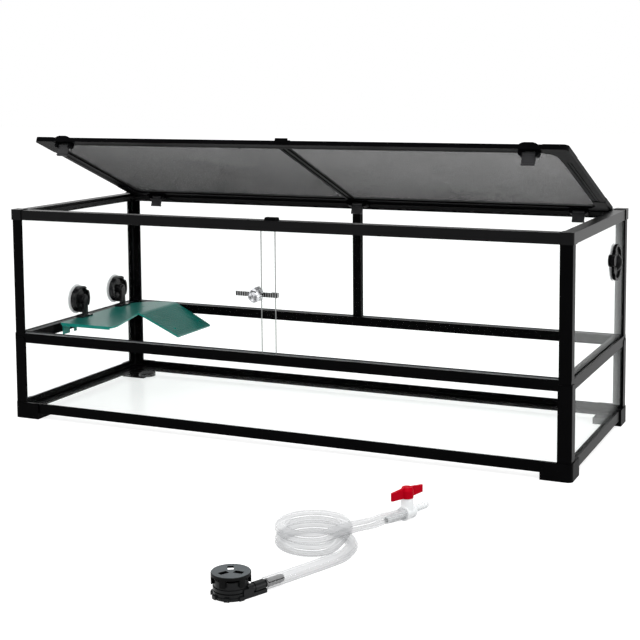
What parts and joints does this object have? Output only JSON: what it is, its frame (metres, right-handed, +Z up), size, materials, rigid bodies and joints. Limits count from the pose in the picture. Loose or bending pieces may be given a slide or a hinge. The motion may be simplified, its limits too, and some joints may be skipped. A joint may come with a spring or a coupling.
{
  "type": "reptile terrarium",
  "caption": "Glass reptile terrarium on corner feet with sliding lockable doors, hinged screen lid with clips, basking platform with ramp, and a coiled drain hose kit.",
  "frame": {"origin": "centre of the tank's footprint on the floor, under the four feet", "axes": "+X along the long side to the right when facing the doors, +Y to the back, +Z up; the doors face -Y"},
  "size_m": [1.2385, 1.214, 0.6123],
  "materials": {
    "frame": "satin black powder coat",
    "moulding": "satin moulded black",
    "track": "satin grey",
    "glass": "clear float glass",
    "screen": "fine woven screen",
    "steel": "bright plated",
    "clear_pvc": "clear soft PVC",
    "teal": "translucent teal",
    "grey_abs": "satin dark grey",
    "hose": "clear hose",
    "white_pvc": "gloss white",
    "red": "gloss red"
  },
  "bodies": {
    "tank": {"feet": "moulding", "bottom_rails_long": "frame", "bottom_rails_short": "frame", "mid_rail_front": "frame", "mid_rail_rear": "frame", "mid_rails_side": "frame", "top_rail_front": "frame", "top_rail_rear": "frame", "top_rails_side": "frame", "lower_posts": "frame", "upper_posts": "frame", "top_corner_caps": "moulding", "rear_mid_post": "frame", "bottom_glass": "glass", "lower_front_glass": "glass", "lower_rear_glass": "glass", "lower_left_glass": "glass", "lower_right_glass": "glass", "upper_left_glass": "glass", "upper_right_glass": "glass", "upper_rear_left_glass": "glass", "upper_rear_right_glass": "glass", "door_track_bottom": "track", "door_track_top": "track", "lid_keeper": "moulding", "side_cup_skirt": "clear_pvc", "basking_deck": "teal", "platform_cups": "clear_pvc", "platform_arms": "moulding", "strainer_body": "grey_abs", "strainer_nut": "grey_abs", "hose_lead": "hose", "hose_coil": "hose", "hose_tail": "hose", "valve_body": "white_pvc", "valve_barb": "white_pvc"},
    "left_door": {"left_door_glass": "glass", "ratchet_bar": "steel"},
    "right_door": {"right_door_glass": "glass"},
    "lock": {"lock_body": "steel"},
    "plug": {"lock_plug": "steel"},
    "lid": {"lid_rail_front": "moulding", "lid_rail_rear": "moulding", "lid_rails_side": "moulding", "lid_crossbar": "moulding", "lid_corner_caps": "moulding", "lid_mesh_left": "screen", "lid_mesh_right": "screen", "lid_latch": "moulding"},
    "clip_fl": {"clip_front_left": "moulding"},
    "clip_fr": {"clip_front_right": "moulding"},
    "clip_rl": {"clip_rear_left": "moulding"},
    "clip_rm": {"clip_rear_mid": "moulding"},
    "clip_rr": {"clip_rear_right": "moulding"},
    "holder_knob": {"side_cup_ring": "moulding", "side_cup_knob": "moulding"},
    "ring_front": {"platform_ring_front": "moulding"},
    "ring_rear": {"platform_ring_rear": "moulding"},
    "handle": {"valve_handle": "red"},
    "cap": {"strainer_cap": "grey_abs"}
  },
  "joints": [
    {"name": "lid_hinge", "type": "hinge", "parent": "tank", "child": "lid", "pos_m": [0, 0.2085, 0.4528], "axis": [-1, 0, 0], "range_deg": [-21, 75]},
    {"name": "left_door_slide", "type": "slide", "parent": "tank", "child": "left_door", "axis": [1, 0, 0], "range_m": [0, 0.47]},
    {"name": "right_door_slide", "type": "slide", "parent": "tank", "child": "right_door", "axis": [-1, 0, 0], "range_m": [0, 0.47]},
    {"name": "lock_slide", "type": "slide", "parent": "right_door", "child": "lock", "axis": [-1, 0, 0], "range_m": [0, 0.06]},
    {"name": "lock_turn", "type": "hinge", "parent": "lock", "child": "plug", "pos_m": [-0.0244, -0.24, 0.302], "axis": [0, 1, 0], "range_deg": [0, 90]},
    {"name": "clip_front_left_flex", "type": "hinge", "parent": "lid", "child": "clip_fl", "pos_m": [-0.5148, -0.17405, 0.58915], "axis": [1, 0, 0], "range_deg": [0, 35]},
    {"name": "clip_front_right_flex", "type": "hinge", "parent": "lid", "child": "clip_fr", "pos_m": [0.511, -0.17405, 0.58915], "axis": [1, 0, 0], "range_deg": [0, 35]},
    {"name": "clip_rear_left_flex", "type": "hinge", "parent": "lid", "child": "clip_rl", "pos_m": [-0.5095, 0.19518, 0.44741], "axis": [-1, 0, 0], "range_deg": [0, 35]},
    {"name": "clip_rear_mid_flex", "type": "hinge", "parent": "lid", "child": "clip_rm", "pos_m": [0.0145, 0.19518, 0.44741], "axis": [-1, 0, 0], "range_deg": [0, 35]},
    {"name": "clip_rear_right_flex", "type": "hinge", "parent": "lid", "child": "clip_rr", "pos_m": [0.5168, 0.19518, 0.44741], "axis": [-1, 0, 0], "range_deg": [0, 35]},
    {"name": "holder_turn", "type": "hinge", "parent": "tank", "child": "holder_knob", "pos_m": [0.612, 0.116, 0.356], "axis": [1, 0, 0], "range_deg": [0, 90]},
    {"name": "ring_front_turn", "type": "hinge", "parent": "tank", "child": "ring_front", "pos_m": [-0.59, -0.02, 0.227], "axis": [1, 0, 0], "range_deg": [0, 45]},
    {"name": "ring_rear_turn", "type": "hinge", "parent": "tank", "child": "ring_rear", "pos_m": [-0.59, 0.138, 0.228], "axis": [1, 0, 0], "range_deg": [0, 45]},
    {"name": "valve_turn", "type": "hinge", "parent": "tank", "child": "handle", "pos_m": [0.40882, -0.53908, 0.045], "axis": [0, 0, 1], "range_deg": [0, 90]},
    {"name": "strainer_cap_turn", "type": "hinge", "parent": "tank", "child": "cap", "pos_m": [0.2943, -0.943, 0.03], "axis": [0, 0, 1], "range_deg": [0, 45]}
  ]
}
